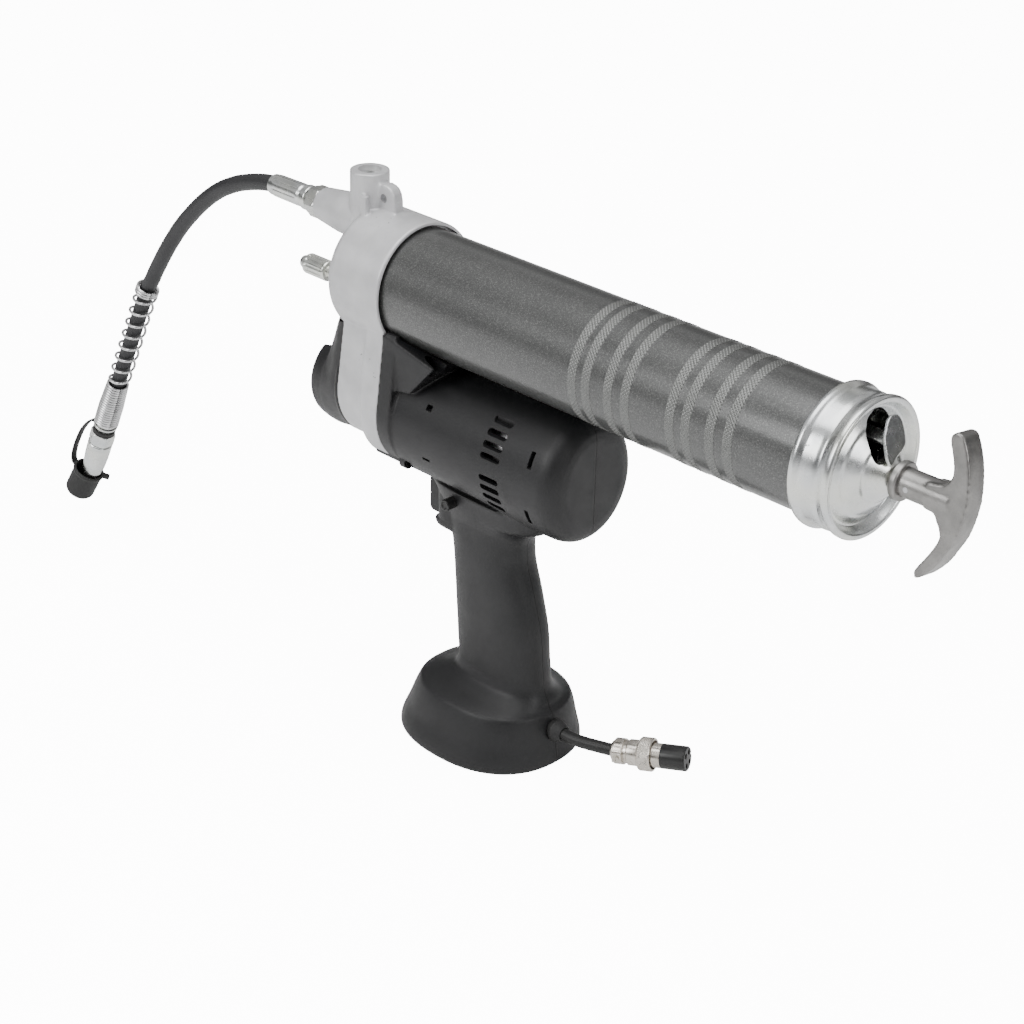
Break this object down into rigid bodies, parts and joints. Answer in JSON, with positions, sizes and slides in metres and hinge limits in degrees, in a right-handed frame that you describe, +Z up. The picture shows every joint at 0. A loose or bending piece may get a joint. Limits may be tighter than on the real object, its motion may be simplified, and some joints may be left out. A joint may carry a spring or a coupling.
{
  "type": "grease gun",
  "caption": "Powered grease gun with a pistol grip, a sprung reservoir barrel with pull handle, a cast pump head, and a hose with wire guard, coupler and tethered dust cap.",
  "frame": {"origin": "centre of the underside of the grip's foot", "axes": "+X along the barrel towards the pump head and hose outlet, +Z up, Y across the tool"},
  "size_m": [0.603, 0.0792, 0.2714],
  "materials": {
    "cast_aluminium": "bare casting, satin",
    "handle_aluminium": "bare casting, satin",
    "zinc_plate": "bright zinc plating over machined steel",
    "barrel_paint": "dark grey metallic, glossy",
    "black_nylon": "moulded, fine texture",
    "black_rubber": "matt",
    "hose_rubber": "satin",
    "cable_rubber": "satin",
    "nickel_plate": "dull nickel plating",
    "spring_steel": "drawn wire",
    "plain_steel": "machined",
    "dark_steel": "black oxide",
    "black_plastic": "moulded",
    "magnet": "sintered ferrite",
    "carbon": "carbon block"
  },
  "bodies": {
    "tool": {"housing_left": "black_nylon", "housing_right": "black_nylon", "nose_cap": "black_nylon", "housing_screws": "dark_steel", "head_screws": "dark_steel", "head_casting": "cast_aluminium", "barrel_tube": "barrel_paint", "barrel_gasket": "black_rubber", "end_cap": "zinc_plate", "latch_spring": "spring_steel", "follower_spring": "spring_steel", "top_plug": "zinc_plate", "check_spring": "spring_steel", "outlet_adapter": "zinc_plate", "hose_ferrule": "zinc_plate", "bleeder_body": "zinc_plate", "bleeder_spring": "spring_steel", "motor_can": "plain_steel", "motor_magnets": "magnet", "motor_end_bell": "black_plastic", "bearings": "plain_steel", "brushes": "carbon", "gear_case": "cast_aluminium", "ring_gear": "plain_steel", "trigger_spring": "spring_steel", "switch_body": "black_plastic", "cable_grommet": "black_rubber", "power_cable": "cable_rubber", "plug_shell": "nickel_plate", "plug_clamp": "nickel_plate", "plug_insert": "black_plastic", "hose": "hose_rubber", "spring_guard": "spring_steel", "hose_sleeve": "zinc_plate", "coupler_body": "zinc_plate", "coupler_sleeve": "zinc_plate", "coupler_jaws": "dark_steel", "cap_strap": "black_rubber"},
    "rod": {"follower_rod": "plain_steel", "t_handle": "handle_aluminium", "handle_pin": "plain_steel"},
    "follower": {"follower_cup": "black_rubber", "follower_disc": "zinc_plate"},
    "latch": {"latch_plate": "zinc_plate"},
    "plunger": {"pump_plunger": "plain_steel"},
    "outlet_ball": {"check_ball": "plain_steel"},
    "bleeder": {"bleeder_button": "zinc_plate"},
    "output": {"output_carrier": "plain_steel", "crank": "plain_steel", "crank_roller": "plain_steel"},
    "rotor": {"armature": "plain_steel", "cooling_fan": "black_plastic"},
    "planet_gear_1": {"planet_1": "plain_steel"},
    "planet_gear_2": {"planet_2": "plain_steel"},
    "planet_gear_3": {"planet_3": "plain_steel"},
    "trigger_body": {"trigger": "black_nylon"},
    "lock": {"lock_button": "black_plastic"},
    "plug_ring": {"coupling_ring": "nickel_plate"},
    "cap": {"dust_cap": "black_rubber"}
  },
  "joints": [
    {"name": "rod_slide", "type": "slide", "parent": "tool", "child": "rod", "axis": [-1, 0, 0], "range_m": [0, 0.205]},
    {"name": "follower_slide", "type": "slide", "parent": "tool", "child": "follower", "axis": [-1, 0, 0], "range_m": [0, 0.205], "deforming": ["follower_spring"]},
    {"name": "latch_pivot", "type": "hinge", "parent": "tool", "child": "latch", "pos_m": [-0.2026, 0, 0.2054], "axis": [0, 1, 0], "range_deg": [0, 2.5], "stiffness_Nm_per_rad": 2, "springref_deg": -5.73, "deforming": ["latch_spring"]},
    {"name": "plunger_slide", "type": "slide", "parent": "tool", "child": "plunger", "axis": [0, 0, 1], "range_m": [-0.003, 0.003]},
    {"name": "check_slide", "type": "slide", "parent": "tool", "child": "outlet_ball", "axis": [1, 0, 0], "range_m": [0, 0.002], "stiffness_N_per_m": 200, "springref_m": -0.001, "deforming": ["check_spring"]},
    {"name": "bleeder_press", "type": "slide", "parent": "tool", "child": "bleeder", "axis": [-1, 0, 0], "range_m": [0, 0.002], "stiffness_N_per_m": 600, "springref_m": -0.001, "deforming": ["bleeder_spring"]},
    {"name": "output_spin", "type": "hinge", "parent": "tool", "child": "output", "pos_m": [0.066, 0, 0.161], "axis": [1, 0, 0], "continuous": true},
    {"name": "rotor_spin", "type": "hinge", "parent": "tool", "child": "rotor", "pos_m": [0, 0, 0.161], "axis": [1, 0, 0], "continuous": true},
    {"name": "planet_spin_1", "type": "hinge", "parent": "output", "child": "planet_gear_1", "pos_m": [0.025, 0.012, 0.161], "axis": [1, 0, 0], "continuous": true},
    {"name": "planet_spin_2", "type": "hinge", "parent": "output", "child": "planet_gear_2", "pos_m": [0.025, -0.006, 0.17139], "axis": [1, 0, 0], "continuous": true},
    {"name": "planet_spin_3", "type": "hinge", "parent": "output", "child": "planet_gear_3", "pos_m": [0.025, -0.006, 0.15061], "axis": [1, 0, 0], "continuous": true},
    {"name": "trigger_slide", "type": "slide", "parent": "tool", "child": "trigger_body", "axis": [-1, 0, 0], "range_m": [0, 0.006], "stiffness_N_per_m": 900, "springref_m": -0.002, "deforming": ["trigger_spring"]},
    {"name": "lock_slide", "type": "slide", "parent": "tool", "child": "lock", "axis": [0, -1, 0], "range_m": [0, 0.003]},
    {"name": "plug_ring_spin", "type": "hinge", "parent": "tool", "child": "plug_ring", "pos_m": [-0.0772, -0.0066, 0.02], "axis": [-0.9153, -0.381, 0.1305], "continuous": true},
    {"name": "cap_pull", "type": "slide", "parent": "tool", "child": "cap", "axis": [0.4412, 0.1606, -0.8829], "range_m": [0, 0.008], "deforming": ["cap_strap"]}
  ],
  "couplings": [
    {"joint": "follower_slide", "follows": "rod_slide", "ratio": 1},
    {"joint": "rotor_spin", "follows": "output_spin", "ratio": 5},
    {"joint": "planet_spin_1", "follows": "output_spin", "ratio": -2.6667},
    {"joint": "planet_spin_2", "follows": "output_spin", "ratio": -2.6667},
    {"joint": "planet_spin_3", "follows": "output_spin", "ratio": -2.6667}
  ]
}
